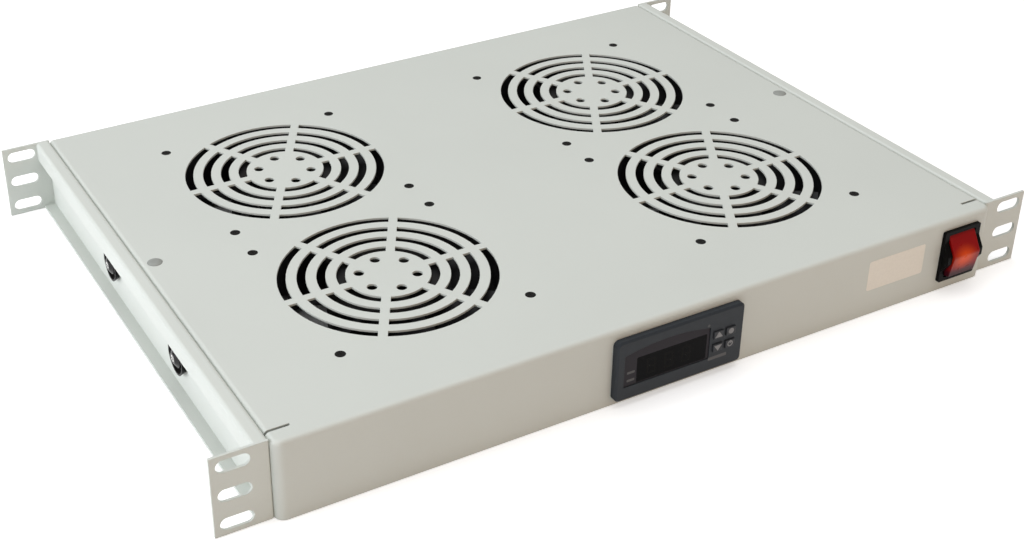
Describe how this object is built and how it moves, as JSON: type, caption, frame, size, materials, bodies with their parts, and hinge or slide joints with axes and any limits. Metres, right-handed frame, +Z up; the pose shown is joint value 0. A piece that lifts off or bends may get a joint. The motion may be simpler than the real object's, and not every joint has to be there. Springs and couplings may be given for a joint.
{
  "type": "rack fan tray",
  "caption": "Rack-mounted fan tray one unit high: folded steel tray with punched grilles over axial fans, thermostat and rocker switch in front, slotted side rails.",
  "frame": {"origin": "centre of the front ears' six slots, on the ears' rear faces, where they meet the rack posts", "axes": "+X along the front to the right, +Y from front to back into the rack, +Z up"},
  "size_m": [0.4826, 0.3441, 0.0443],
  "materials": {
    "bezel_plastic": "fine-grained charcoal",
    "black_screw": "black zinc",
    "blade_brass": "tinned brass",
    "board_green": "solder resist",
    "bronze": "sintered bronze",
    "clip_orange": "orange moulded",
    "cup_black": "black moulded",
    "fan_casting": "black painted casting",
    "key_plastic": "pale keys",
    "rail_paint": "satin light grey powder coat",
    "relay_blue": "blue case",
    "rocker_red": "translucent red",
    "rotor_black": "black moulded",
    "shaft_steel": "ground",
    "stator_iron": "varnished",
    "switch_black": "black moulded",
    "terminal_green": "green moulded",
    "tray_paint": "satin light grey powder coat",
    "window_dark": "smoked, glossy",
    "zinc_steel": "bright zinc"
  },
  "bodies": {
    "tray": {"brace_rivets": "tray_paint", "control_board": "board_green", "cross_brace": "zinc_steel", "cup_washers": "cup_black", "display_window": "window_dark", "fan_screws": "black_screw", "front_left_fan_frame": "fan_casting", "front_right_fan_frame": "fan_casting", "inlet_pins": "blade_brass", "inlet_screws": "zinc_steel", "inlet_terminals": "blade_brass", "left_rail": "rail_paint", "left_side_clip": "clip_orange", "mains_inlet": "switch_black", "power_board": "board_green", "rail_nuts": "zinc_steel", "rail_screws": "zinc_steel", "rear_left_fan_frame": "fan_casting", "rear_right_fan_frame": "fan_casting", "right_rail": "rail_paint", "right_side_clip": "clip_orange", "sleeve_bearings": "bronze", "stators": "stator_iron", "switch_housing": "switch_black", "switch_terminals": "blade_brass", "thermostat_bezel": "bezel_plastic", "thermostat_case": "bezel_plastic", "thermostat_relay": "relay_blue", "thermostat_terminals": "terminal_green", "tray_housing": "tray_paint"},
    "front_left_rotor": {"front_left_fan_rotor": "rotor_black", "front_left_fan_shaft": "shaft_steel"},
    "front_right_rotor": {"front_right_fan_rotor": "rotor_black", "front_right_fan_shaft": "shaft_steel"},
    "rear_left_rotor": {"rear_left_fan_rotor": "rotor_black", "rear_left_fan_shaft": "shaft_steel"},
    "rear_right_rotor": {"rear_right_fan_rotor": "rotor_black", "rear_right_fan_shaft": "shaft_steel"},
    "rocker": {"rocker": "rocker_red"},
    "key_1": {"key_1": "key_plastic"},
    "key_2": {"key_2": "key_plastic"},
    "key_3": {"key_3": "key_plastic"},
    "key_4": {"key_4": "key_plastic"}
  },
  "joints": [
    {"name": "front_left_spin", "type": "hinge", "parent": "tray", "child": "front_left_rotor", "pos_m": [-0.105, 0.0945, 0], "axis": [0, 0, 1], "continuous": true},
    {"name": "front_right_spin", "type": "hinge", "parent": "tray", "child": "front_right_rotor", "pos_m": [0.105, 0.0945, 0], "axis": [0, 0, 1], "continuous": true},
    {"name": "rear_left_spin", "type": "hinge", "parent": "tray", "child": "rear_left_rotor", "pos_m": [-0.105, 0.2232, 0], "axis": [0, 0, 1], "continuous": true},
    {"name": "rear_right_spin", "type": "hinge", "parent": "tray", "child": "rear_right_rotor", "pos_m": [0.105, 0.2232, 0], "axis": [0, 0, 1], "continuous": true},
    {"name": "rocker_tilt", "type": "hinge", "parent": "tray", "child": "rocker", "pos_m": [0.1913, -0.0035, 0], "axis": [1, 0, 0], "range_deg": [0, 20]},
    {"name": "key_1_press", "type": "slide", "parent": "tray", "child": "key_1", "axis": [0, 1, 0], "range_m": [0, 0.0006], "stiffness_N_per_m": 600},
    {"name": "key_2_press", "type": "slide", "parent": "tray", "child": "key_2", "axis": [0, 1, 0], "range_m": [0, 0.0006], "stiffness_N_per_m": 600},
    {"name": "key_3_press", "type": "slide", "parent": "tray", "child": "key_3", "axis": [0, 1, 0], "range_m": [0, 0.0006], "stiffness_N_per_m": 600},
    {"name": "key_4_press", "type": "slide", "parent": "tray", "child": "key_4", "axis": [0, 1, 0], "range_m": [0, 0.0006], "stiffness_N_per_m": 600}
  ]
}
